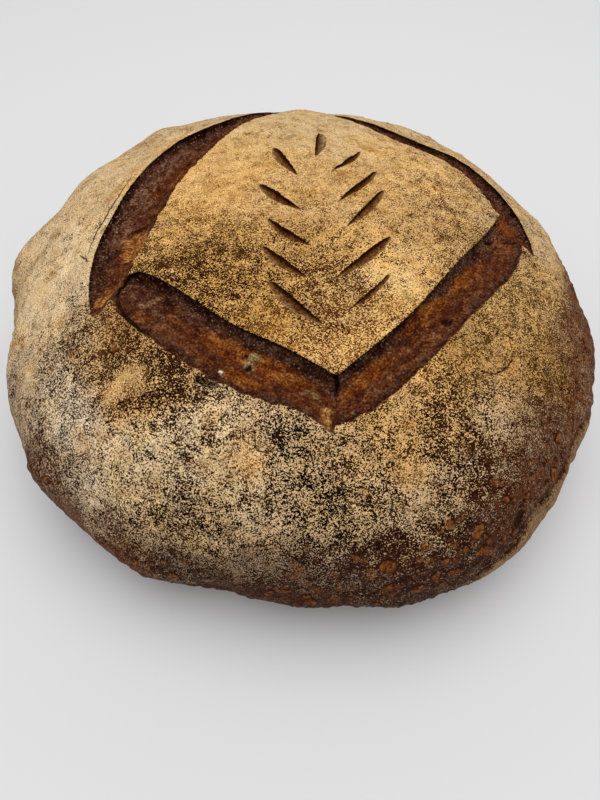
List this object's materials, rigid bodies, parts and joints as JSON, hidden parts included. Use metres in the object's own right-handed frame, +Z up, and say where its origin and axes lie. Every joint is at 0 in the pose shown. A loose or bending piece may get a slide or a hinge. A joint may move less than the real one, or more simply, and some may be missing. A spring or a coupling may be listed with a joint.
{
  "type": "sourdough loaf",
  "caption": "Round, flat-bottomed sourdough loaf, scored with long gashes round a raised island of floured crust and with a leaf of short cuts.",
  "frame": {"origin": "on the surface that the loaf rests on, under the middle of the loaf", "axes": "+Z up out of the crown; -Y to the front, where the two front gashes meet in a point; +X to the right seen from the front"},
  "size_m": [0.2557, 0.2617, 0.1006],
  "materials": {
    "crust": "matt baked crust, dusted with flour on top, bare and darker round the sides"
  },
  "bodies": {
    "root": {"loaf": "crust"}
  },
  "joints": []
}
